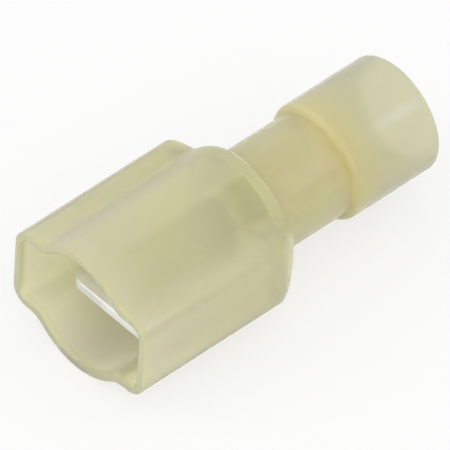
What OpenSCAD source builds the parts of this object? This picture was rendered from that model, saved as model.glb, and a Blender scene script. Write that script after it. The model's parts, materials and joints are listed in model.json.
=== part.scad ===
// Fully insulated male spade terminal: a rolled and stamped tab terminal in a one-piece nylon housing.
// Millimetres. The axis runs along Y, from the shroud's mouth at -Y to the wire entry at +Y, and +Z is up.
// The origin is on the surface that the shroud lies on, below the axis, halfway along the part.

/* [Shroud] */
// Length of the shroud, from its mouth to the back of its rear wall
shroud_length = 12.5; // [11.5:0.1:14]
// Width of the shroud across both wings
shroud_width = 10.55; // [10:0.05:12]
// Height of the wings
wing_height = 5.6; // [5.2:0.1:6.4]
// Diameter of the round bulge that runs along the middle of the shroud
bulge_diameter = 8.5; // [8.2:0.1:9.4]
// Radius of the long edges of the wings
wing_corner_radius = 1.1; // [0.8:0.05:1.5]
// Radius that rounds off the back of the wings, seen from above and from the side
wing_back_radius = 2.2; // [1.4:0.1:2.5]
// Radius of the edge round the back of the bulge
bulge_back_radius = 0.9; // [0.7:0.05:1.2]
// Wall of the shroud
shroud_wall = 0.55; // [0.4:0.05:0.65]
// Thickness of the shroud's rear wall
rear_wall = 1.3; // [1:0.1:1.8]

/* [Sleeve] */
// Length of the neck, from the shroud to the bell
neck_length = 5.15; // [4.5:0.05:6.5]
// Wall of the neck
neck_wall = 0.73; // [0.6:0.01:0.9]
// Length of the bell
bell_length = 6.25; // [5.5:0.05:8]
// Bore of the bell, which takes the insulation of the wire
bell_bore = 6.3; // [5.9:0.1:6.8]
// Wall of the bell
bell_wall = 0.5; // [0.4:0.05:0.7]
// Radius of the bell's front shoulder
bell_shoulder_radius = 0.4; // [0.2:0.05:0.8]
// Radius of the bell's outer rim
bell_rim_radius = 0.22; // [0.1:0.01:0.3]
// How far inside the neck the ledge that stops the barrel lies
ledge_inset = 0.8; // [0.4:0.05:1.2]
// Length of the straight hole through the ledge
ledge_length = 0.6; // [0.3:0.1:1]
// Length of the funnel that leads the wire into the barrel
funnel_length = 1.2; // [0.8:0.1:1.6]

/* [Terminal] */
// Thickness of the brass sheet
sheet = 0.8; // [0.7:0.05:0.9]
// Width of the tab
tab_width = 6.35; // [5.8:0.05:6.8]
// How far the tip of the tab lies inside the mouth
tab_recess = 2.4; // [1.5:0.1:3.5]
// Rise of the tab above the floor of the barrel
tab_lift = 0.7; // [0.3:0.05:1]
// Radius of the corners at the tip of the tab
tab_corner_radius = 0.7; // [0.3:0.05:1.2]
// Length of the bevels at the tip of the tab
tab_bevel_length = 0.8; // [0.4:0.05:1.2]
// Depth of each bevel at the tip of the tab
tab_bevel_depth = 0.2; // [0.1:0.01:0.3]
// Diameter of the detent hole in the tab
detent_diameter = 1.7; // [1.4:0.05:2]
// Distance from the tip of the tab to the middle of the detent hole
detent_setback = 3.9; // [3.4:0.05:4.3]
// Length of the curled transition from the tab to the barrel
transition_length = 1.4; // [1:0.1:2]
// Angle that the transition has curled through on each side, where it meets the barrel
transition_curl = 60; // [45:1:75]
// Bore of the crimp barrel
barrel_bore = 3.4; // [3:0.05:3.8]
// Length of the crimp barrel
barrel_length = 6.6; // [6:0.1:7.2]
// Lead-in chamfer in the mouth of the barrel
barrel_lead_in = 0.2; // [0.1:0.05:0.3]
// Depth of the seam along the top of the barrel
seam_depth = 0.15; // [0.05:0.01:0.25]

/* [Fits] */
// Gap between the barrel and the neck, on the radius and at the ledge
barrel_clearance = 0.02; // [0:0.01:0.05]
// How much wider than the barrel's bore the ledge's hole is, on the radius
ledge_clearance = 0.3; // [0.2:0.05:0.5]

/* [Hidden] */
$fn = 96;

total_length = shroud_length + neck_length + bell_length;
bulge_radius = bulge_diameter / 2;
cavity_depth = shroud_length - rear_wall;

barrel_radius = barrel_bore / 2 + sheet;
barrel_mid_radius = barrel_radius - sheet / 2;
barrel_seat_radius = barrel_radius + barrel_clearance;
neck_radius = barrel_seat_radius + neck_wall;
bell_start = shroud_length + neck_length;
bell_bore_radius = bell_bore / 2;
bell_radius = bell_bore_radius + bell_wall;

ledge_start = bell_start - ledge_inset;
funnel_start = ledge_start + ledge_length;
funnel_end = funnel_start + funnel_length;
ledge_radius = barrel_bore / 2 + ledge_clearance;

barrel_back = ledge_start - barrel_clearance;
barrel_front = barrel_back - barrel_length;
tab_end = barrel_front - transition_length;
tab_length = tab_end - tab_recess;
tab_z = tab_lift - barrel_mid_radius;

// The transition reaches this far into the tab and the barrel, and stays this far inside their faces
joint_overlap = 0.3;
joint_inset = 0.01;
// Steps of the transition along the axis and across the sheet
transition_steps = 14;
sheet_steps = 14;
// Share of the barrel's bend that the flat end of the transition keeps, so that its radius stays finite
least_turn = 0.001;
// Cuts run this far past the faces that they open
overrun = 1;
// The bar that rounds off the wings' rear corners clears their long edges by this much
corner_gap = 0.03;
// Smallest fillet that stays in the cavity when a wall is thick
least_fillet = 0.1;

nylon = [0.85, 0.82, 0.66];
tinned_brass = [0.78, 0.78, 0.76];

// Moves the part from its axis to its place on the surface
module on_surface() {
    translate([0, -total_length / 2, bulge_radius]) children();
}

// Turns a profile drawn as radius and distance along the axis
module turned() {
    rotate([-90, 0, 0]) rotate_extrude() children();
}

// Profile of a round bar with its outer edges rounded
module bar_profile(radius, start, end, front_round, back_round) {
    difference() {
        translate([0, start]) square([radius, end - start]);
        if (front_round > 0)
            translate([radius, start]) edge_cut(front_round);
        if (back_round > 0)
            translate([radius, end]) mirror([0, 1]) edge_cut(back_round);
    }
}

// What a rounding takes off a square edge at the origin
module edge_cut(edge_radius) {
    difference() {
        translate([-edge_radius, -overrun]) square([edge_radius + overrun, edge_radius + overrun]);
        translate([-edge_radius, edge_radius]) circle(edge_radius);
    }
}

// Rectangle with all its corners rounded, centred
module rounded_rectangle(width, height, radius) {
    square([width, height - 2 * radius], center = true);
    square([width - 2 * radius, height], center = true);
    for (x = [-1, 1], y = [-1, 1])
        translate([x * (width / 2 - radius), y * (height / 2 - radius)]) circle(radius);
}

// Rectangle from start to end along Y, with the two corners at its end rounded
module round_ended(width, start, end, radius) {
    translate([-width / 2, start]) square([width, end - start - radius]);
    translate([radius - width / 2, start]) square([width - 2 * radius, end - start]);
    for (x = [-1, 1])
        translate([x * (width / 2 - radius), end - radius]) circle(radius);
}

// Winged block along the axis: rounded in section, and at its back in plan, from the side and at its corners
module winged_block(width, height, start, end, corner_radius, back_radius) {
    corner_reach = norm([width / 2 - corner_radius, height / 2 - corner_radius]) + corner_radius;
    intersection() {
        translate([0, end, 0]) rotate([90, 0, 0])
            linear_extrude(end - start) rounded_rectangle(width, height, corner_radius);
        translate([0, 0, -height]) linear_extrude(2 * height) round_ended(width, start, end, back_radius);
        translate([width, 0, 0]) rotate([0, -90, 0])
            linear_extrude(2 * width) round_ended(height, start, end, back_radius);
        turned() bar_profile(corner_reach + corner_gap, start, end, 0, back_radius);
    }
}

// One-piece nylon moulding: shroud, neck and bell
module insulating_housing() {
    color(nylon) on_surface() difference() {
        union() {
            winged_block(shroud_width, wing_height, 0, shroud_length, wing_corner_radius, wing_back_radius);
            turned() sleeve_profile();
        }
        winged_block(shroud_width - 2 * shroud_wall, wing_height - 2 * shroud_wall, -overrun, cavity_depth,
                     inner_radius(wing_corner_radius), inner_radius(wing_back_radius));
        turned() bore_profile();
    }
}

// Radius inside the shroud's wall that follows a radius outside it
function inner_radius(outer_radius) = max(outer_radius - shroud_wall, least_fillet);

// Outside of the bulge, the neck and the bell
module sleeve_profile() {
    bar_profile(bulge_radius, 0, shroud_length, 0, bulge_back_radius);
    translate([0, cavity_depth]) square([neck_radius, bell_start + bell_shoulder_radius - cavity_depth]);
    bar_profile(bell_radius, bell_start, total_length, bell_shoulder_radius, bell_rim_radius);
}

// Inside of the bulge, the barrel's seat, the ledge, the funnel and the bell
module bore_profile() {
    bar_profile(bulge_radius - shroud_wall, -overrun, cavity_depth, 0, inner_radius(bulge_back_radius));
    square([barrel_seat_radius, ledge_start]);
    square([ledge_radius, total_length]);
    polygon([
        [0, funnel_start],
        [ledge_radius, funnel_start],
        [bell_bore_radius, funnel_end],
        [0, funnel_end]
    ]);
    translate([0, funnel_end]) square([bell_bore_radius, total_length + overrun - funnel_end]);
}

// Stamped and rolled sheet: tab, curled transition and crimp barrel
module tab_terminal() {
    color(tinned_brass) on_surface() {
        flat_tab();
        curled_transition();
        crimp_barrel();
    }
}

// Flat tab with rounded corners, a bevelled tip and a detent hole
module flat_tab() {
    translate([0, tab_recess, tab_z]) difference() {
        intersection() {
            translate([0, tab_length, -sheet]) mirror([0, 1, 0])
                linear_extrude(2 * sheet) round_ended(tab_width, 0, tab_length, tab_corner_radius);
            rotate([90, 0, 90]) translate([0, 0, -tab_width])
                linear_extrude(2 * tab_width) bevelled_strip();
        }
        translate([0, detent_setback, -sheet]) cylinder(d = detent_diameter, h = 2 * sheet);
    }
}

// Section of the tab along the axis, with a bevel on both faces of its tip
module bevelled_strip() {
    half = sheet / 2;
    tip = half - tab_bevel_depth;
    polygon([[0, -tip], [tab_bevel_length, -half], [tab_length, -half],
             [tab_length, half], [tab_bevel_length, half], [0, tip]]);
}

// Rolled barrel with a lead-in for the wire and a seam along its top
module crimp_barrel() {
    seam_side = seam_depth * sqrt(2);
    difference() {
        turned() polygon([[barrel_bore / 2, barrel_front], [barrel_radius, barrel_front],
                          [barrel_radius, barrel_back], [barrel_bore / 2 + barrel_lead_in, barrel_back],
                          [barrel_bore / 2, barrel_back - barrel_lead_in]]);
        translate([0, barrel_front + barrel_length / 2, barrel_radius]) rotate([0, 45, 0])
            cube([seam_side, barrel_length + overrun, seam_side], center = true);
    }
}

// Sheet that narrows, sinks and curls from the flat tab into the bottom of the barrel
module curled_transition() {
    rows = transition_steps;
    columns = sheet_steps;
    across = columns + 1;
    under = (rows + 1) * across;
    upper = [for (i = [0:rows], j = [0:columns]) transition_point(i / rows, 2 * j / columns - 1, 1)];
    lower = [for (i = [0:rows], j = [0:columns]) transition_point(i / rows, 2 * j / columns - 1, -1)];
    skins = [for (i = [0:rows - 1], j = [0:columns - 1])
        let (a = i * across + j, b = a + 1, c = b + across, d = a + across)
            each [
                [a, d, c],
                [a, c, b],
                [under + a, under + b, under + c],
                [under + a, under + c, under + d]
            ]];
    edges = [for (i = [0:rows - 1])
        let (a = i * across, b = a + across, c = a + columns, d = b + columns)
            each [
                [a, under + a, under + b],
                [a, under + b, b],
                [c, d, under + d],
                [c, under + d, under + c]
            ]];
    ends = [for (j = [0:columns - 1])
        let (a = j, b = j + 1, c = rows * across + j, d = c + 1)
            each [[a, b, under + b, under + a], [c, under + c, under + d, d]]];
    polyhedron(concat(upper, lower), concat(skins, edges, ends), convexity = 4);
}

// Point of the transition: along runs from 0 at the tab to 1 at the barrel, across from -1 to 1,
// on the upper or the lower face
function transition_point(along, across, face) =
    let (
        turn = ease(along),
        bend = max(turn, least_turn) / barrel_mid_radius,
        barrel_half = barrel_mid_radius * transition_curl * PI / 180,
        half = tab_width / 2 - joint_inset + turn * (barrel_half - tab_width / 2),
        angle = across * half * bend * 180 / PI,
        lift = face * (sheet / 2 - joint_inset),
        y = tab_end - joint_overlap + along * (transition_length + 2 * joint_overlap)
    )
    [sin(angle) * (1 / bend - lift), y, tab_z - turn * tab_lift + 1 / bend - cos(angle) * (1 / bend - lift)];

// Smooth step from 0 to 1 that stays level where the transition lies inside the tab or the barrel
function ease(along) =
    let (
        reach = joint_overlap / (transition_length + 2 * joint_overlap),
        t = min(max((along - reach) / (1 - 2 * reach), 0), 1)
    )
    t * t * (3 - 2 * t);

insulating_housing();
tab_terminal();
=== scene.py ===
# Dresses a fully insulated male spade terminal: a tinned tab terminal in a translucent nylon housing.
# Metres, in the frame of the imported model: the axis runs along Y, the mouth is at -Y and +Z is up.
import json
import math
from collections import namedtuple

import bpy
from mathutils import Matrix, Vector


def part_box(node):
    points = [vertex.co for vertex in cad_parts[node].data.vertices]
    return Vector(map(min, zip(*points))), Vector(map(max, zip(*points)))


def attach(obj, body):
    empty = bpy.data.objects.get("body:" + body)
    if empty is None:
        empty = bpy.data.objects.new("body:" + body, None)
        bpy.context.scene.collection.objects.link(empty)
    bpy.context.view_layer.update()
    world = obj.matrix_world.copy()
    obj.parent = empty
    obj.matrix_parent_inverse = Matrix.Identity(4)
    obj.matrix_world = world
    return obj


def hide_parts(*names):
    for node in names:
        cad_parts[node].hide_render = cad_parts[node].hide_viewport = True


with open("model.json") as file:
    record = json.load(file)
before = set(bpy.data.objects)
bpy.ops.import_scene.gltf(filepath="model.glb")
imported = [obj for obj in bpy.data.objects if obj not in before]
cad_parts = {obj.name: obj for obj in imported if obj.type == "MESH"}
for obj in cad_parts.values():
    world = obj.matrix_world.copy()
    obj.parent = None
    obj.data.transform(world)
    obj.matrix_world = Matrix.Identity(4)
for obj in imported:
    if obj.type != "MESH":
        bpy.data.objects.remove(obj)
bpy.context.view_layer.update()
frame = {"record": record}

MM = 0.001

# Sizes that the frame gives
housing_low, housing_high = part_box("insulating_housing")
terminal_low, terminal_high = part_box("tab_terminal")
mounts = {mount["name"]: mount for mount in frame["record"]["mounts"]}
AXIS_HEIGHT = (housing_low.z + housing_high.z) / 2
MOUTH = housing_low.y
TOTAL_LENGTH = housing_high.y - housing_low.y
SHROUD_WIDTH = housing_high.x - housing_low.x
BULGE_RADIUS = (housing_high.z - housing_low.z) / 2
BELL_BORE_RADIUS = mounts["wire_entry"]["dims"]["r_mm"] * MM
FUNNEL_END = TOTAL_LENGTH - mounts["wire_entry"]["dims"]["length_mm"] * MM
BARREL_RADIUS = AXIS_HEIGHT - terminal_low.z
BARREL_BACK = terminal_high.y - MOUTH
TAB_TIP = terminal_low.y - MOUTH
TAB_WIDTH = terminal_high.x - terminal_low.x
TAB_HEIGHT = mounts["tab"]["pos_m"][2] - AXIS_HEIGHT

# Moulded housing
SHROUD_LENGTH = 12.5 * MM
WING_HEIGHT = 5.6 * MM
WING_CORNER_RADIUS = 1.1 * MM
WING_BACK_RADIUS = 2.2 * MM
BULGE_BACK_RADIUS = 0.9 * MM
SHROUD_WALL = 0.55 * MM
CAVITY_DEPTH = 11.2 * MM
NECK_RADIUS = 3.25 * MM
BELL_START = 17.65 * MM
BELL_RADIUS = 3.65 * MM
BELL_SHOULDER_RADIUS = 0.4 * MM
BELL_RIM_RADIUS = 0.22 * MM
BARREL_SEAT_RADIUS = 2.52 * MM
LEDGE_START = 16.85 * MM
LEDGE_RADIUS = 2.0 * MM
FUNNEL_START = 17.45 * MM

# Roundings that every moulding has
LIP_ROUND = 0.12 * MM
LIP_INNER_ROUND = 0.3 * MM
RIM_INNER_ROUND = 0.1 * MM
NECK_FILLET = 0.1 * MM
WING_CREASE_FILLET = 1.0 * MM
INNER_CREASE_FILLET = 0.5 * MM
WING_EDGE_SOFTNESS = 0.2 * MM
WING_BACK_SOFTNESS = 1.0 * MM
# Room that keeps the rounding at the wings' back off their straight corners
WING_CORNER_GAP = 0.03 * MM
# Rows of points lie this close beside an edge that stays crisp, or at this share of a short stretch
CRISP_EDGE = 0.03 * MM
CRISP_SHARE = 0.25
HOUSING_TURN_STEPS = 400

# Stamped and rolled terminal
SHEET = 0.8 * MM
TAB_CORNER_RADIUS = 0.7 * MM
TAB_BEVEL_LENGTH = 0.45 * MM
TAB_BEVEL_DEPTH = 0.08 * MM
DETENT_RADIUS = 0.85 * MM
DETENT_SETBACK = 3.9 * MM
DETENT_EDGE = 0.06 * MM
TRANSITION_LENGTH = 1.4 * MM
TRANSITION_CURL = math.radians(60)
BARREL_LENGTH = 6.6 * MM
BARREL_FLARE = 0.16 * MM
BARREL_LEAD_IN = 0.2 * MM
SEAM_GAP = 0.03 * MM
SHEET_EDGE_ROUND = 0.06 * MM
SHEET_STEPS_ACROSS = 96
SHEET_EDGE_STEPS = 4
TAB_CORNER_STEPS = 14
TAB_STEPS = 10
TRANSITION_STEPS = 24
BARREL_FLARE_STEPS = 12
BARREL_STEPS = 16
DETENT_STEPS = 64
SHARP_EDGE_ANGLE = math.radians(32)
BARREL_MID_RADIUS = BARREL_RADIUS - SHEET / 2
BARREL_FRONT = BARREL_BACK - BARREL_LENGTH
TAB_END = BARREL_FRONT - TRANSITION_LENGTH

# Camera of the photograph, about a point on the axis
CAMERA_AZIMUTH = math.radians(45.08)
CAMERA_ELEVATION = math.radians(46.46)
CAMERA_ROLL = math.radians(-3.38)
CAMERA_DISTANCE = 0.9781
CAMERA_REACH = 10 * CAMERA_DISTANCE
CAMERA_LENS = 1413.0
CAMERA_SENSOR = 36.0
CAMERA_AIM = Vector((0, 0.05 * MM, AXIS_HEIGHT))
CAMERA_AIM_RIGHT = -0.744 * MM
CAMERA_AIM_UP = -0.718 * MM


class Formula:
    """A number inside a node tree, so that a rule reads as a formula and not as a chain of nodes."""

    def __init__(self, tree, socket):
        self.tree = tree
        self.socket = socket

    def work_out(self, operation, *others):
        node = self.tree.nodes.new("ShaderNodeMath")
        node.operation = operation
        for socket, value in zip(node.inputs, (self, *others)):
            connect(self.tree, value, socket)
        return Formula(self.tree, node.outputs[0])

    def __add__(self, other):
        return self.work_out("ADD", other)

    def __sub__(self, other):
        return self.work_out("SUBTRACT", other)

    def __rsub__(self, other):
        return self.work_out("MULTIPLY_ADD", -1.0, other)

    def __mul__(self, other):
        return self.work_out("MULTIPLY", other)

    def __truediv__(self, other):
        return self.work_out("DIVIDE", other)

    def above(self, other):
        return self.work_out("GREATER_THAN", other)

    def at_least(self, other):
        return self.work_out("MAXIMUM", other)

    def at_most(self, other):
        return self.work_out("MINIMUM", other)

    def squared(self):
        return self * self

    def root(self):
        return self.work_out("SQRT")

    def size(self):
        return self.work_out("ABSOLUTE")

    def sine(self):
        return self.work_out("SINE")

    def cosine(self):
        return self.work_out("COSINE")


def connect(tree, value, socket):
    """Gives a node's input a formula, another node's output, or a plain value."""
    if isinstance(value, Formula):
        tree.links.new(value.socket, socket)
    elif isinstance(value, bpy.types.NodeSocket):
        tree.links.new(value, socket)
    else:
        socket.default_value = value


def add_node(tree, kind, inputs=None, **settings):
    """A node with its settings, and values or links for its named inputs."""
    node = tree.nodes.new(kind)
    for name, value in settings.items():
        setattr(node, name, value)
    for name, value in (inputs or {}).items():
        connect(tree, value, node.inputs[name])
    return node


# Rules for Geometry Nodes

SEAM_CLOSING = 1e-7


def station_points(name, stations):
    """Loose points that carry the values of each station as named attributes."""
    mesh = bpy.data.meshes.new(name)
    mesh.from_pydata([(0, 0, 0)] * len(stations), [], [])
    for field in stations[0]._fields:
        attribute = mesh.attributes.new(field, "FLOAT", "POINT")
        attribute.data.foreach_set("value", [getattr(station, field) for station in stations])
    points = bpy.data.objects.new(name, mesh)
    bpy.context.scene.collection.objects.link(points)
    return points


def start_rule(name, sizes, objects=()):
    """An empty rule with inputs for its stations, its sizes, other objects and its finish."""
    tree = bpy.data.node_groups.new(name, "GeometryNodeTree")
    tree.interface.new_socket("Stations", in_out="INPUT", socket_type="NodeSocketGeometry")
    for size in sizes:
        tree.interface.new_socket(size, in_out="INPUT", socket_type="NodeSocketFloat")
    for other in objects:
        tree.interface.new_socket(other, in_out="INPUT", socket_type="NodeSocketObject")
    tree.interface.new_socket("Finish", in_out="INPUT", socket_type="NodeSocketMaterial")
    tree.interface.new_socket("Piece", in_out="OUTPUT", socket_type="NodeSocketGeometry")
    entry = tree.nodes.new("NodeGroupInput")
    return tree, entry, {size: Formula(tree, entry.outputs[size]) for size in sizes}


def count_points(tree, stations):
    counter = add_node(tree, "GeometryNodeAttributeDomainSize", {"Geometry": stations}, component="MESH")
    return Formula(tree, counter.outputs["Point Count"])


def station_reader(tree, stations, index):
    """A function that reads a named value of the station with this index."""
    def read(name):
        attribute = add_node(tree, "GeometryNodeInputNamedAttribute", {"Name": name}, data_type="FLOAT")
        sample = add_node(tree, "GeometryNodeSampleIndex", data_type="FLOAT", domain="POINT")
        connect(tree, stations, sample.inputs["Geometry"])
        connect(tree, attribute.outputs["Attribute"], sample.inputs["Value"])
        connect(tree, index, sample.inputs["Index"])
        return Formula(tree, sample.outputs["Value"])
    return read


def woven_grid(tree, columns, rows):
    """A grid to be shaped, and the column and the row of each of its points."""
    grid = add_node(tree, "GeometryNodeMeshGrid", {"Vertices X": columns, "Vertices Y": rows})
    index = Formula(tree, add_node(tree, "GeometryNodeInputIndex").outputs[0])
    column = (index / rows).work_out("FLOOR")
    return grid.outputs["Mesh"], column, index - column * rows


def finish_rule(tree, entry, grid, x, y, z):
    """Puts the grid's points in place, closes its seams and gives it its finish."""
    place = add_node(tree, "ShaderNodeCombineXYZ", {"X": x, "Y": y, "Z": z})
    shaped = add_node(tree, "GeometryNodeSetPosition", {"Geometry": grid, "Position": place.outputs[0]})
    closed = add_node(tree, "GeometryNodeMergeByDistance",
                      {"Geometry": shaped.outputs[0], "Distance": SEAM_CLOSING})
    smooth = add_node(tree, "GeometryNodeSetShadeSmooth", {"Geometry": closed.outputs[0]})
    real = add_node(tree, "GeometryNodeRealizeInstances", {"Geometry": smooth.outputs[0]})
    finished = add_node(tree, "GeometryNodeSetMaterial",
                        {"Geometry": real.outputs[0], "Material": entry.outputs["Finish"]})
    tree.links.new(finished.outputs[0], tree.nodes.new("NodeGroupOutput").inputs["Piece"])


def make_piece(name, tree, stations, values):
    """Runs a rule on its stations and keeps the result as a plain mesh."""
    modifier = stations.modifiers.new(name, "NODES")
    modifier.node_group = tree
    for item in tree.interface.items_tree:
        if item.name in values:
            modifier[item.identifier] = values[item.name]
    graph = bpy.context.evaluated_depsgraph_get()
    mesh = bpy.data.meshes.new_from_object(stations.evaluated_get(graph))
    mesh.name = name
    stations.modifiers.remove(modifier)
    bpy.data.objects.remove(stations)
    piece = bpy.data.objects.new(name, mesh)
    bpy.context.scene.collection.objects.link(piece)
    return piece


# Moulded housing

HousingStation = namedtuple("HousingStation", "radius along inset wing_end")
NO_WINGS = 0.0


def arc(centre_radius, centre_along, size, start, end, steps):
    """Points of an arc in a profile. At 0 degrees it points away from the axis, at 90 to the wire entry."""
    angles = [math.radians(start + (end - start) * i / steps) for i in range(steps + 1)]
    return [(centre_radius + size * math.cos(a), centre_along + size * math.sin(a)) for a in angles]


def stretch(start, end, steps):
    """Points of a straight stretch in a profile, close together at its ends so that they stay crisp."""
    start, end = Vector(start), Vector(end)
    hold = min(CRISP_EDGE / (end - start).length, CRISP_SHARE)
    shares = [0.0, hold] + [hold + (1 - 2 * hold) * i / steps for i in range(1, steps)] + [1 - hold, 1.0]
    return [tuple(start.lerp(end, share)) for share in shares]


def lip_stations(points):
    """The mouth's lip, where the wings step inwards as far as the bulge does."""
    return [HousingStation(radius, along, BULGE_RADIUS - radius, SHROUD_LENGTH) for radius, along in points]


def stations_along(points, inset=0.0, wing_end=NO_WINGS):
    return [HousingStation(radius, along, inset, wing_end) for radius, along in points]


def housing_stations():
    """Once round the wall's profile: out along the outside to the bell's rim, and back through the bore."""
    lip, inner, rim_inner = LIP_ROUND, LIP_INNER_ROUND, RIM_INNER_ROUND
    fillet, shoulder_round = NECK_FILLET, BELL_SHOULDER_RADIUS
    inner_bulge = BULGE_RADIUS - SHROUD_WALL
    back_middle = BULGE_RADIUS - BULGE_BACK_RADIUS
    inner_back_round = BULGE_BACK_RADIUS - SHROUD_WALL
    inner_back = CAVITY_DEPTH - inner_back_round
    wings_round_from = SHROUD_LENGTH - WING_BACK_RADIUS
    bulge_rounds_from = SHROUD_LENGTH - BULGE_BACK_RADIUS
    inner_wings_round_from = CAVITY_DEPTH - WING_BACK_RADIUS + SHROUD_WALL
    bell_from = BELL_START + shoulder_round
    bell_to = TOTAL_LENGTH - BELL_RIM_RADIUS
    bore_from = TOTAL_LENGTH - rim_inner

    outer_lip = arc(BULGE_RADIUS - lip, lip, lip, -90, 0, steps=6)
    inner_lip = arc(inner_bulge + inner, inner, inner, 180, 270, steps=8)
    shroud = stretch((BULGE_RADIUS, lip), (BULGE_RADIUS, wings_round_from), steps=12)
    shroud += stretch((BULGE_RADIUS, wings_round_from), (BULGE_RADIUS, bulge_rounds_from), steps=14)
    shroud += arc(back_middle, bulge_rounds_from, BULGE_BACK_RADIUS, 0, 90, steps=18)
    sleeve = arc(NECK_RADIUS + fillet, SHROUD_LENGTH + fillet, fillet, 270, 180, steps=6)
    sleeve += stretch((NECK_RADIUS, SHROUD_LENGTH + fillet), (NECK_RADIUS, BELL_START - fillet), steps=10)
    sleeve += arc(NECK_RADIUS + fillet, BELL_START - fillet, fillet, 180, 90, steps=6)
    shoulder = arc(BELL_RADIUS - shoulder_round, bell_from, shoulder_round, 270, 360, steps=14)
    sleeve += [point for point in shoulder if point[0] > NECK_RADIUS + fillet]
    sleeve += stretch((BELL_RADIUS, bell_from), (BELL_RADIUS, bell_to), steps=10)
    sleeve += arc(BELL_RADIUS - BELL_RIM_RADIUS, bell_to, BELL_RIM_RADIUS, 0, 90, steps=8)
    sleeve += arc(BELL_BORE_RADIUS + rim_inner, bore_from, rim_inner, 90, 180, steps=5)
    sleeve += stretch((BELL_BORE_RADIUS, bore_from), (BELL_BORE_RADIUS, FUNNEL_END), steps=10)
    sleeve += stretch((BELL_BORE_RADIUS, FUNNEL_END), (LEDGE_RADIUS, FUNNEL_START), steps=6)
    sleeve += stretch((LEDGE_RADIUS, FUNNEL_START), (LEDGE_RADIUS, LEDGE_START), steps=3)
    sleeve += stretch((LEDGE_RADIUS, LEDGE_START), (BARREL_SEAT_RADIUS, LEDGE_START), steps=2)
    sleeve += stretch((BARREL_SEAT_RADIUS, LEDGE_START), (BARREL_SEAT_RADIUS, CAVITY_DEPTH), steps=10)
    cavity = stretch((BARREL_SEAT_RADIUS, CAVITY_DEPTH), (back_middle, CAVITY_DEPTH), steps=3)
    cavity += arc(back_middle, inner_back, inner_back_round, 90, 0, steps=8)
    cavity += stretch((inner_bulge, inner_back), (inner_bulge, inner_wings_round_from), steps=14)
    cavity += stretch((inner_bulge, inner_wings_round_from), (inner_bulge, inner), steps=12)

    stations = lip_stations(outer_lip) + stations_along(shroud, 0.0, SHROUD_LENGTH) + stations_along(sleeve)
    stations += stations_along(cavity, SHROUD_WALL, CAVITY_DEPTH) + lip_stations(inner_lip)
    return [this for this, last in zip(stations, stations[-1:] + stations[:-1]) if this != last]


def rounded_rectangle_reach(across, up, half_width, half_height, corner):
    """How far a rounded rectangle reaches from its middle, in the direction of across and up."""
    flat = (half_width / across).at_most(half_height / up)
    middle_across = half_width - corner
    middle_up = half_height - corner
    towards = middle_across * across + middle_up * up
    spare = middle_across.squared() + middle_up.squared() - corner.squared()
    rounded = towards + (towards.squared() - spare).root()
    at_corner = (flat * across).above(middle_across) * (flat * up).above(middle_up)
    return flat + (rounded - flat) * at_corner


HOUSING_SIZES = {
    "Turn Steps": HOUSING_TURN_STEPS,
    "Shroud Width": SHROUD_WIDTH,
    "Wing Height": WING_HEIGHT,
    "Wing Corner Radius": WING_CORNER_RADIUS,
    "Wing Back Radius": WING_BACK_RADIUS,
    "Wing Corner Gap": WING_CORNER_GAP,
    "Wing Edge Softness": WING_EDGE_SOFTNESS,
    "Wing Back Softness": WING_BACK_SOFTNESS,
    "Wing Crease Fillet": WING_CREASE_FILLET,
    "Inner Crease Fillet": INNER_CREASE_FILLET,
    "Shroud Wall": SHROUD_WALL,
    "Mouth": MOUTH,
    "Axis Height": AXIS_HEIGHT,
}
LEAST_SLOPE = 1e-6


def housing_rule():
    """Turns the wall's profile about the axis, and the wings stand out where they reach further."""
    tree, entry, size = start_rule("Moulded housing", HOUSING_SIZES)
    stations = entry.outputs["Stations"]
    count = count_points(tree, stations)
    grid, turn, step = woven_grid(tree, size["Turn Steps"] + 1, count + 1)
    read = station_reader(tree, stations, step.work_out("MODULO", count))
    angle = turn * -math.tau / size["Turn Steps"]
    across = angle.cosine().size().at_least(LEAST_SLOPE)
    up = angle.sine().size().at_least(LEAST_SLOPE)
    along, inset, wing_end = read("along"), read("inset"), read("wing_end")

    half_width = size["Shroud Width"] / 2 - inset
    half_height = size["Wing Height"] / 2 - inset
    corner = size["Wing Corner Radius"] - inset
    back = size["Wing Back Radius"] - inset
    past = (along - (wing_end - back)).at_least(0.0)
    trim = back - (back.squared() - past.squared()).root()
    straight_wing = rounded_rectangle_reach(across, up, half_width, half_height, corner)
    corner_reach = ((half_width - corner).squared() + (half_height - corner).squared()).root() + corner
    softness = size["Wing Edge Softness"] + size["Wing Back Softness"] * (past / back)
    back_wing = ((half_width - trim) / across).work_out("SMOOTH_MIN", (half_height - trim) / up, softness)
    corner_back = corner_reach + size["Wing Corner Gap"] - trim
    back_wing = back_wing.work_out("SMOOTH_MIN", corner_back, softness)
    wing = straight_wing.at_most(back_wing) * wing_end.above(NO_WINGS)
    outer_crease, inner_crease = size["Wing Crease Fillet"], size["Inner Crease Fillet"]
    crease = outer_crease + (inner_crease - outer_crease) * (inset / size["Shroud Wall"])
    reach = read("radius").work_out("SMOOTH_MAX", wing, crease)
    finish_rule(tree, entry, grid, angle.cosine() * reach, along + size["Mouth"],
                angle.sine() * reach + size["Axis Height"])
    return tree


# Stamped and rolled terminal

SheetRow = namedtuple("SheetRow", "half_width along floor bend_radius upper lower")
EdgePoint = namedtuple("EdgePoint", "core side lean")
# A bend so wide that the sheet lies flat
FLAT_BEND = 1.0
BARREL_HALF_WIDTH = math.pi * BARREL_MID_RADIUS - SEAM_GAP / 2
CURL_HALF_WIDTH = TRANSITION_CURL * BARREL_MID_RADIUS


def ease(share):
    """Smooth step from 0 to 1."""
    return share * share * (3 - 2 * share)


def quarter_turn(steps):
    """Angles from 0 to 90 degrees."""
    return [math.radians(90 * i / steps) for i in range(steps + 1)]


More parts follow.
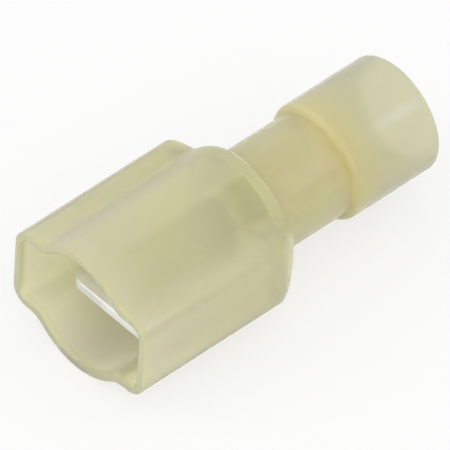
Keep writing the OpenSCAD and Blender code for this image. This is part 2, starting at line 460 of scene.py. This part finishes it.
def tab_rows():
    """Flat tab from its bevelled tip with round corners to the start of the transition."""
    def half_thickness(along):
        return SHEET / 2 - TAB_BEVEL_DEPTH * max(1 - along / TAB_BEVEL_LENGTH, 0)

    def half_width(along):
        short = max(TAB_CORNER_RADIUS - along, 0)
        return TAB_WIDTH / 2 - TAB_CORNER_RADIUS + math.sqrt(TAB_CORNER_RADIUS ** 2 - short ** 2)

    def row(along, thinned=0.0):
        half = half_thickness(along) - thinned
        return SheetRow(half_width(along), TAB_TIP + along, TAB_HEIGHT, FLAT_BEND, half, -half)

    tip_round = SHEET_EDGE_ROUND
    rows = [row(0.0, half_thickness(0.0))]
    for a in quarter_turn(SHEET_EDGE_STEPS):
        rows.append(row(tip_round * (1 - math.cos(a)), tip_round * (1 - math.sin(a))))
    corner = [TAB_CORNER_RADIUS * (1 - math.cos(a)) for a in quarter_turn(TAB_CORNER_STEPS)]
    marks = [along for along in corner if along > tip_round]
    bevel_end = TAB_BEVEL_LENGTH
    marks += [bevel_end - CRISP_EDGE, bevel_end, bevel_end + CRISP_EDGE]
    straight = max(bevel_end, TAB_CORNER_RADIUS)
    tab_length = TAB_END - TAB_TIP
    marks += [straight + (tab_length - straight) * i / TAB_STEPS for i in range(1, TAB_STEPS + 1)]
    return rows + [row(along) for along in sorted(marks)]


def transition_rows():
    """Sheet that narrows, sinks and curls from the tab into the bottom of the barrel."""
    rows = []
    for i in range(1, TRANSITION_STEPS + 1):
        share = i / TRANSITION_STEPS
        turn = ease(share)
        rows.append(SheetRow(
            TAB_WIDTH / 2 + turn * (CURL_HALF_WIDTH - TAB_WIDTH / 2),
            TAB_END + TRANSITION_LENGTH * share,
            TAB_HEIGHT - turn * (TAB_HEIGHT + BARREL_MID_RADIUS),
            min(BARREL_MID_RADIUS / turn, FLAT_BEND),
            SHEET / 2,
            -SHEET / 2,
        ))
    return rows


def barrel_rows():
    """Barrel from its front, where the curl widens to a full roll, to the lead-in at its back."""
    def row(along, half_width=BARREL_HALF_WIDTH, upper=SHEET / 2, lower=-SHEET / 2):
        return SheetRow(half_width, along, -BARREL_MID_RADIUS, BARREL_MID_RADIUS, upper, lower)

    widening = BARREL_HALF_WIDTH - CURL_HALF_WIDTH
    rows = []
    for i in range(1, BARREL_FLARE_STEPS + 1):
        share = i / BARREL_FLARE_STEPS
        rows.append(row(BARREL_FRONT + BARREL_FLARE * share, CURL_HALF_WIDTH + ease(share) * widening))
    straight_from = BARREL_FRONT + BARREL_FLARE
    straight = BARREL_BACK - BARREL_LEAD_IN - straight_from
    rows += [row(straight_from + straight * i / BARREL_STEPS) for i in range(1, BARREL_STEPS + 1)]
    edge = SHEET_EDGE_ROUND
    rows.append(row(BARREL_BACK - edge, upper=SHEET / 2 - BARREL_LEAD_IN + edge))
    rows.append(row(BARREL_BACK, upper=SHEET / 2 - BARREL_LEAD_IN, lower=edge - SHEET / 2))
    rows.append(row(BARREL_BACK, upper=0.0, lower=0.0))
    return rows


def sheet_edge_points():
    """Once round the sheet's section: the upper face, a rounded edge, the lower face, the other edge."""
    def face(side):
        steps = SHEET_STEPS_ACROSS
        return [EdgePoint(side * (2 * i / steps - 1), side, side * math.pi / 2) for i in range(steps + 1)]

    def corner(core, side, start, end):
        shares = [i / SHEET_EDGE_STEPS for i in range(1, SHEET_EDGE_STEPS)]
        return [EdgePoint(core, side, math.radians(start + (end - start) * share)) for share in shares]

    points = face(1) + corner(1, 1, 90, 0) + [EdgePoint(1, 1, 0.0), EdgePoint(1, -1, 0.0)]
    points += corner(1, -1, 0, -90) + face(-1) + corner(-1, -1, 270, 180)
    return points + [EdgePoint(-1, -1, math.pi), EdgePoint(-1, 1, math.pi)] + corner(-1, 1, 180, 90)


TERMINAL_SIZES = {
    "Edge Round": SHEET_EDGE_ROUND,
    "Mouth": MOUTH,
    "Axis Height": AXIS_HEIGHT,
}


def terminal_rule():
    """Lays the sheet's section on each row, bent to that row's radius."""
    tree, entry, size = start_rule("Rolled terminal", TERMINAL_SIZES, ["Section"])
    rows = entry.outputs["Stations"]
    holder = add_node(tree, "GeometryNodeObjectInfo", {"Object": entry.outputs["Section"]})
    section = holder.outputs["Geometry"]
    around = count_points(tree, section)
    grid, turn, step = woven_grid(tree, around + 1, count_points(tree, rows))
    read_row = station_reader(tree, rows, step)
    read_edge = station_reader(tree, section, turn.work_out("MODULO", around))

    upper, lower = read_row("upper"), read_row("lower")
    half_thickness = (upper - lower) / 2
    rounding = half_thickness.at_most(size["Edge Round"])
    lean = read_edge("lean")
    across = read_edge("core") * (read_row("half_width") - size["Edge Round"]) + lean.cosine() * rounding
    off = (upper + lower) / 2 + read_edge("side") * (half_thickness - rounding) + lean.sine() * rounding
    bend_radius = read_row("bend_radius")
    angle = across / bend_radius
    height = read_row("floor") + bend_radius - angle.cosine() * (bend_radius - off)
    finish_rule(tree, entry, grid, angle.sine() * (bend_radius - off), read_row("along") + size["Mouth"],
                height + size["Axis Height"])
    return tree


def detent_cutter():
    """Turned plug with a flare at each face of the tab, which leaves the detent hole with broken edges."""
    steps = DETENT_STEPS
    past_face = SHEET
    half = SHEET / 2
    profile = [
        (DETENT_RADIUS + DETENT_EDGE, -past_face),
        (DETENT_RADIUS + DETENT_EDGE, -half),
        (DETENT_RADIUS, DETENT_EDGE - half),
        (DETENT_RADIUS, half - DETENT_EDGE),
        (DETENT_RADIUS + DETENT_EDGE, half),
        (DETENT_RADIUS + DETENT_EDGE, past_face),
    ]
    middle = Vector((0, MOUTH + TAB_TIP + DETENT_SETBACK, AXIS_HEIGHT + TAB_HEIGHT))
    turns = [math.tau * i / steps for i in range(steps)]
    points = [middle + Vector((r * math.cos(a), r * math.sin(a), z)) for r, z in profile for a in turns]
    faces = [list(range(steps))[::-1], list(range((len(profile) - 1) * steps, len(profile) * steps))]
    for ring in range(len(profile) - 1):
        for i in range(steps):
            first, after = ring * steps + i, ring * steps + (i + 1) % steps
            faces.append([first, after, after + steps, first + steps])
    mesh = bpy.data.meshes.new("detent_cutter")
    mesh.from_pydata(points, [], faces)
    cutter = bpy.data.objects.new("detent_cutter", mesh)
    bpy.context.scene.collection.objects.link(cutter)
    return cutter


def punch_detent(terminal):
    """Cuts the detent hole through the tab and keeps the result as a plain mesh."""
    cutter = detent_cutter()
    punch = terminal.modifiers.new("Detent", "BOOLEAN")
    punch.operation = "DIFFERENCE"
    punch.solver = "EXACT"
    punch.object = cutter
    graph = bpy.context.evaluated_depsgraph_get()
    punched = bpy.data.meshes.new_from_object(terminal.evaluated_get(graph))
    terminal.modifiers.remove(punch)
    bpy.data.objects.remove(cutter)
    terminal.data = punched
    punched.set_sharp_from_angle(angle=SHARP_EDGE_ANGLE)


# Finishes

RELIEF_DEPTH = 0.02 * MM
NOISE_RANGE = (0.3, 0.7)
# Sockets of the mix node that take and give colours
MIX_FIRST, MIX_SECOND, MIX_RESULT = 6, 7, 2


def start_finish(name):
    """A material with its shader, and the place of each point in metres."""
    material = bpy.data.materials.new(name)
    material.use_nodes = True
    tree = material.node_tree
    shader = tree.nodes["Principled BSDF"]
    place = add_node(tree, "ShaderNodeTexCoord").outputs["Object"]
    return material, tree, shader, place


def set_constants(shader, values):
    for name, value in values.items():
        shader.inputs[name].default_value = value


def noise(tree, place, scale, detail=3.0, stretch_by=(1, 1, 1)):
    """Noise of this many blotches to the metre, stretched along an axis by dividing its scale."""
    scales = tuple(scale / stretched for stretched in stretch_by)
    mapping = add_node(tree, "ShaderNodeMapping", {"Vector": place, "Scale": scales})
    texture = add_node(tree, "ShaderNodeTexNoise",
                       {"Vector": mapping.outputs[0], "Scale": 1.0, "Detail": detail})
    return Formula(tree, texture.outputs["Fac"])


def spread(tree, value, low, high):
    """Noise carried from its usual range to this one."""
    least, most = NOISE_RANGE
    limits = {"From Min": least, "From Max": most, "To Min": low, "To Max": high}
    return Formula(tree, add_node(tree, "ShaderNodeMapRange", {"Value": value, **limits}).outputs[0])


def blend_colour(tree, share, first, second):
    node = add_node(tree, "ShaderNodeMix", data_type="RGBA")
    connect(tree, share, node.inputs["Factor"])
    connect(tree, first, node.inputs[MIX_FIRST])
    connect(tree, second, node.inputs[MIX_SECOND])
    return node.outputs[MIX_RESULT]


def add_relief(tree, shader, height, strength):
    """Relief that is too fine for the mesh."""
    bump = add_node(tree, "ShaderNodeBump",
                    {"Height": height, "Strength": strength, "Distance": RELIEF_DEPTH})
    connect(tree, bump.outputs[0], shader.inputs["Normal"])


def fade(value, none_at, full_at):
    """A share that goes from 0 to 1 between two values, and stays there beyond them."""
    return ((value - none_at) / (full_at - none_at)).at_least(0.0).at_most(1.0)


def band(value, none_below, full_from, full_to, none_above):
    """A share that fades in, stays at 1 and fades out again."""
    return fade(value, none_below, full_from) * fade(value, none_above, full_to)


def in_mm(*lengths):
    return tuple(length * MM for length in lengths)


def in_degrees(*angles):
    return tuple(math.radians(angle) for angle in angles)


# Colours of the nylon. They render darker than written, because thin walls pass light on.
NYLON_THIN = (0.90, 0.875, 0.57, 1)
NYLON_WARM = (0.94, 0.865, 0.55, 1)
NYLON_PALE = (0.83, 0.80, 0.585, 1)
NYLON_LIP = (0.84, 0.80, 0.49, 1)
NYLON_CLEAR = (0.77, 0.75, 0.52, 1)
NYLON_THICK = (0.90, 0.79, 0.43, 1)
NYLON_SHADED = (0.70, 0.69, 0.42, 1)
NECK_OLIVE = (0.87, 0.85, 0.49, 1)
NECK_TAN = (1.0, 0.85, 0.54, 1)
# Painted highlight: a lighter streak along the bell, where a soft lamp's reflection lies
PAINTED_HIGHLIGHT = (0.95, 0.93, 0.76, 1)
# Yellower solid nylon of the shroud's rear wall, and a painted highlight along its rounded rear edge
REAR_WALL_AND_HIGHLIGHT = (1.0, 0.96, 0.55, 1)
# Painted light: the cavity's walls lighter, as if lit through the mouth and the thin walls
INNER_PAINTED_LIGHT = (1.0, 0.96, 0.66, 1)

# Where these colours fade in, or fade in and out, along the part from the mouth
LIP_FADE = in_mm(0.5, 0.2)
NEAR_MOUTH_FADE = in_mm(4.5, 0.8)
FRONT_FADE = in_mm(6.5, 1.5)
BACK_FADE = in_mm(7.0, 10.5)
REAR_WALL_HIGHLIGHT_BAND = in_mm(11.0, 11.3, 11.7, 12.2)
NECK_BAND = in_mm(12.25, 12.75, 16.6, 17.1)
NECK_SHADE_FADE = in_mm(13.4, 14.6)
SHOULDER_BAND = in_mm(16.3, 17.3, 18.0, 19.8)
BELL_FADE = in_mm(18.6, 21.5)
BELL_HIGHLIGHT_END_FADE = in_mm(23.6, 23.0)
TAB_SHADE_FADE = in_mm(0.8, 2.5)
TAB_SHADE_DEEP_FADE = in_mm(8.0, 10.0)
TAB_SHADE_END_FADE = in_mm(11.35, 11.2)

# And where they do so round the axis, from the top towards +X
TAB_SHADE_TURN = in_degrees(9, 16, 44, 52)
# Painted highlight on the neck: a tan band at this angle
NECK_HIGHLIGHT_TURN = in_degrees(22, 32, 44, 52)
NECK_SHADE_TURN = in_degrees(45, 50, 58, 66)
BELL_HIGHLIGHT_TURN = in_degrees(28, 35, 38, 46)

# Where the painted light on the cavity's walls fades in, from the shroud's outside to its inside
IN_BULGE_FADE = in_mm(4.0, 3.85)
IN_WINGS_ACROSS_FADE = in_mm(5.1, 4.9)
IN_WINGS_UP_FADE = in_mm(2.65, 2.4)
CAVITY_END_FADE = in_mm(11.4, 11.1)

# How much of these colours shows
BACK_SHARE = 0.2
REAR_WALL_HIGHLIGHT_SHARE = 0.9
TAB_SHADE_SHARE = 0.4
TAB_SHADE_DEEP_SHARE = 0.6
METAL_STREAK_SHARE = 0.8
NECK_HIGHLIGHT_SHARE = 0.4
NECK_SHADE_SHARE = 0.35
SHOULDER_LEAST_SHARE = 0.6
BELL_HIGHLIGHT_SHARE = 0.4
INNER_LIGHT_LEAST_SHARE = 0.3

# Noise of the nylon, its scale in blotches to the metre
HUE_SCALE = 170.0
HUE_DETAIL = 2.0
CLOUD_SCALE = 420.0
METAL_STREAK_SCALE = 900.0
METAL_STREAK_STRETCH = (1, 3, 1)
SHEEN_SCALE = 900.0
GRAIN_SCALE = 5200.0
GRAIN_DETAIL = 2.0
GRAIN_STRENGTH = 0.12
NYLON_ROUGHNESS = (0.16, 0.24)


def nylon_colour(tree, place):
    """Colour of the nylon: a thin and a warm tone, with tints by place laid over them one by one, among
    them painted highlights on the neck, bell and rear edge, painted shade on the flank and neck, and
    painted light in the cavity.
    """
    split = add_node(tree, "ShaderNodeSeparateXYZ", {"Vector": place})
    along = Formula(tree, split.outputs["Y"]) - MOUTH
    across = Formula(tree, split.outputs["X"])
    up = Formula(tree, split.outputs["Z"]) - AXIS_HEIGHT
    turn = across.work_out("ARCTAN2", up)

    in_bulge = fade((across.squared() + up.squared()).root(), *IN_BULGE_FADE)
    in_wings = fade(across.size(), *IN_WINGS_ACROSS_FADE) * fade(up.size(), *IN_WINGS_UP_FADE)
    # Painted light in the cavity, strongest near the mouth
    inside = in_bulge.at_least(in_wings) * fade(along, *CAVITY_END_FADE)
    near_mouth = fade(along, *NEAR_MOUTH_FADE) * (1 - INNER_LIGHT_LEAST_SHARE) + INNER_LIGHT_LEAST_SHARE
    tab_depth = fade(along, *TAB_SHADE_DEEP_FADE) * TAB_SHADE_DEEP_SHARE
    tab_depth = tab_depth + fade(along, *TAB_SHADE_FADE) * TAB_SHADE_SHARE
    tab_shade = band(turn, *TAB_SHADE_TURN) * tab_depth * fade(along, *TAB_SHADE_END_FADE)
    neck = band(along, *NECK_BAND)
    neck_shade = neck * band(turn, *NECK_SHADE_TURN) * fade(along, *NECK_SHADE_FADE)
    cloud = spread(tree, noise(tree, place, CLOUD_SCALE), SHOULDER_LEAST_SHARE, 1.0)
    bell = fade(along, *BELL_FADE)
    # Painted highlight along the bell, at a fixed angle from the top towards +X
    painted_bell_highlight = bell * band(turn, *BELL_HIGHLIGHT_TURN) * fade(along, *BELL_HIGHLIGHT_END_FADE)

    hue = spread(tree, noise(tree, place, HUE_SCALE, HUE_DETAIL), 0.0, 1.0)
    colour = blend_colour(tree, hue, NYLON_THIN, NYLON_WARM)
    streak = noise(tree, place, METAL_STREAK_SCALE, stretch_by=METAL_STREAK_STRETCH)
    # Tan mottling where the barrel lies under the neck, and a painted highlight band along the neck
    tan_and_highlight = spread(tree, streak, 0.0, METAL_STREAK_SHARE) + band(turn, *NECK_HIGHLIGHT_TURN) * NECK_HIGHLIGHT_SHARE
    over_metal_and_highlight = blend_colour(tree, tan_and_highlight.at_most(1.0), NECK_OLIVE, NECK_TAN)
    tints = [
        (fade(along, *FRONT_FADE), NYLON_PALE),
        (fade(along, *BACK_FADE) * BACK_SHARE, NYLON_THICK),
        (bell, NYLON_CLEAR),
        # painted highlight along the bell
        (painted_bell_highlight * BELL_HIGHLIGHT_SHARE, PAINTED_HIGHLIGHT),
        (neck, over_metal_and_highlight),
        (band(along, *SHOULDER_BAND) * cloud, NYLON_THICK),
        # yellower rear wall with a painted highlight along the rounded rear edge
        (band(along, *REAR_WALL_HIGHLIGHT_BAND) * REAR_WALL_HIGHLIGHT_SHARE, REAR_WALL_AND_HIGHLIGHT),
        (tab_shade, NYLON_SHADED),
        (neck_shade * NECK_SHADE_SHARE, NYLON_SHADED),
        # painted light on the cavity's walls
        (inside * near_mouth, INNER_PAINTED_LIGHT),
        (fade(along, *LIP_FADE), NYLON_LIP),
    ]
    for share, tint in tints:
        colour = blend_colour(tree, share, colour, tint)
    return colour


def natural_nylon():
    """Milky translucent nylon, yellower where it is thick and mottled where the barrel lies under it, with
    painted highlights, shade and light in its colour.
    """
    material, tree, shader, place = start_finish("natural_nylon")
    connect(tree, nylon_colour(tree, place), shader.inputs["Base Color"])
    sheen = noise(tree, place, SHEEN_SCALE)
    connect(tree, spread(tree, sheen, *NYLON_ROUGHNESS), shader.inputs["Roughness"])
    add_relief(tree, shader, noise(tree, place, GRAIN_SCALE, GRAIN_DETAIL), GRAIN_STRENGTH)
    set_constants(shader, {
        "IOR": 1.53,
        "Specular IOR Level": 0.2,
        "Subsurface Weight": 1.0,
        "Subsurface Radius": (1.0, 0.95, 0.6),
        "Subsurface Scale": 2.5 * MM,
        "Transmission Weight": 0.56,
    })
    return material


TIN_BRIGHT = (0.93, 0.93, 0.96, 1)
TIN_DULL = (0.85, 0.85, 0.88, 1)
TIN_ROUGHNESS = (0.55, 0.67)
ROLLING_SCALE = 9000.0
ROLLING_DETAIL = 4.0
ROLLING_STRETCH = (1, 14, 1)
ROLLING_STRENGTH = 0.15
BLOTCH_SCALE = 900.0
BLOTCH_ROUGHNESS = 0.08


def tin_plate():
    """Bright tin over brass sheet, with rolling marks along the strip and faint dull blotches."""
    material, tree, shader, place = start_finish("tin_plate")
    rolling = noise(tree, place, ROLLING_SCALE, ROLLING_DETAIL, ROLLING_STRETCH)
    blotch = noise(tree, place, BLOTCH_SCALE)
    colour = blend_colour(tree, spread(tree, blotch, 0.0, 1.0), TIN_BRIGHT, TIN_DULL)
    connect(tree, colour, shader.inputs["Base Color"])
    roughness = spread(tree, rolling, *TIN_ROUGHNESS) + blotch * BLOTCH_ROUGHNESS
    connect(tree, roughness, shader.inputs["Roughness"])
    add_relief(tree, shader, rolling, ROLLING_STRENGTH)
    set_constants(shader, {"Metallic": 1.0})
    return material


# Studio

FLOOR_HALF = 0.35
FLOOR_WHITENESS = 0.68
PAPER_COLOUR = (0.96, 0.96, 0.96, 1)
PAPER_ROUGHNESS = 0.9
AMBIENT_LEVEL = 0.83
SOFT_BOX_DISTANCE = 0.5
SOFT_BOX_SIZE = 0.6
KEY_DIRECTION = Vector((0.75, -0.3, 0.6))
KEY_ENERGY = 0.55
MOUTH_FILL_DIRECTION = Vector((-0.6, -0.75, 0.25))
MOUTH_FILL_ENERGY = 0.8


def seen_directly(tree):
    """1 for rays from the camera and for those that metal or clear plastic sends on, and 0 for light."""
    path = add_node(tree, "ShaderNodeLightPath")
    kinds = ("Is Camera Ray", "Is Glossy Ray", "Is Transmission Ray")
    camera, glossy, through = [Formula(tree, path.outputs[kind]) for kind in kinds]
    return (camera + glossy + through).at_most(1.0)


def white_floor():
    """Pale floor that looks white and keeps a faint shadow."""
    mesh = bpy.data.meshes.new("floor")
    half = FLOOR_HALF
    corners = [(-half, -half, 0), (half, -half, 0), (half, half, 0), (-half, half, 0)]
    mesh.from_pydata(corners, [], [(0, 1, 2, 3)])
    floor = bpy.data.objects.new("floor", mesh)
    bpy.context.scene.collection.objects.link(floor)
    material = bpy.data.materials.new("white_paper")
    material.use_nodes = True
    tree = material.node_tree
    paper = tree.nodes["Principled BSDF"]
    set_constants(paper, {
        "Base Color": PAPER_COLOUR,
        "Roughness": PAPER_ROUGHNESS,
        "Specular IOR Level": 0.0,
    })
    glow = add_node(tree, "ShaderNodeEmission")
    mix = add_node(tree, "ShaderNodeMixShader", {"Fac": seen_directly(tree) * FLOOR_WHITENESS})
    tree.links.new(paper.outputs[0], mix.inputs[1])
    tree.links.new(glow.outputs[0], mix.inputs[2])
    tree.links.new(mix.outputs[0], tree.nodes["Material Output"].inputs["Surface"])
    mesh.materials.append(material)
    return floor


def soft_box(name, towards, energy):
    """Round soft lamp that points at the part from this direction."""
    lamp = bpy.data.lights.new(name, "AREA")
    lamp.shape = "DISK"
    lamp.size = SOFT_BOX_SIZE
    lamp.energy = energy
    box = bpy.data.objects.new(name, lamp)
    box.location = towards.normalized() * SOFT_BOX_DISTANCE
    box.rotation_euler = towards.to_track_quat("Z", "Y").to_euler()
    bpy.context.scene.collection.objects.link(box)


def studio_light():
    """White surroundings, a soft key lamp at the right and a soft fill that shines into the mouth."""
    world = bpy.data.worlds.new("white_surroundings")
    bpy.context.scene.world = world
    world.use_nodes = True
    tree = world.node_tree
    background = tree.nodes["Background"]
    background.inputs["Color"].default_value = (1, 1, 1, 1)
    strength = seen_directly(tree) * (1 - AMBIENT_LEVEL) + AMBIENT_LEVEL
    connect(tree, strength, background.inputs["Strength"])
    soft_box("key_box", KEY_DIRECTION, KEY_ENERGY)
    soft_box("mouth_fill_box", MOUTH_FILL_DIRECTION, MOUTH_FILL_ENERGY)


def photograph_camera():
    """Camera at the photograph's viewing angle, far off through a long lens."""
    level = Vector((math.cos(CAMERA_AZIMUTH), math.sin(CAMERA_AZIMUTH), 0))
    flat = math.cos(CAMERA_ELEVATION)
    back = Vector((level.y * flat, -level.x * flat, math.sin(CAMERA_ELEVATION)))
    upright = back.cross(level)
    right = math.cos(CAMERA_ROLL) * level - math.sin(CAMERA_ROLL) * upright
    up = math.sin(CAMERA_ROLL) * level + math.cos(CAMERA_ROLL) * upright
    lens = bpy.data.cameras.new("photograph_camera")
    lens.lens = CAMERA_LENS
    lens.sensor_width = CAMERA_SENSOR
    lens.clip_end = CAMERA_REACH
    camera = bpy.data.objects.new("photograph_camera", lens)
    aim = CAMERA_AIM + right * CAMERA_AIM_RIGHT + up * CAMERA_AIM_UP
    facing = Matrix((right, up, back)).transposed().to_4x4()
    camera.matrix_world = Matrix.Translation(aim + back * CAMERA_DISTANCE) @ facing
    bpy.context.scene.collection.objects.link(camera)
    bpy.context.scene.camera = camera


bpy.context.scene.view_settings.view_transform = "Standard"
photograph_camera()
studio_light()
white_floor()

housing = make_piece("nylon_housing", housing_rule(), station_points("housing_profile", housing_stations()),
                     {**HOUSING_SIZES, "Finish": natural_nylon()})
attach(housing, "root")
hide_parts("insulating_housing")

sheet_section = station_points("sheet_section", sheet_edge_points())
terminal_points = station_points("terminal_rows", tab_rows() + transition_rows() + barrel_rows())
terminal = make_piece("rolled_terminal", terminal_rule(), terminal_points,
                      {**TERMINAL_SIZES, "Section": sheet_section, "Finish": tin_plate()})
bpy.data.objects.remove(sheet_section)
punch_detent(terminal)
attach(terminal, "root")
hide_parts("tab_terminal")

bpy.context.view_layer.update()
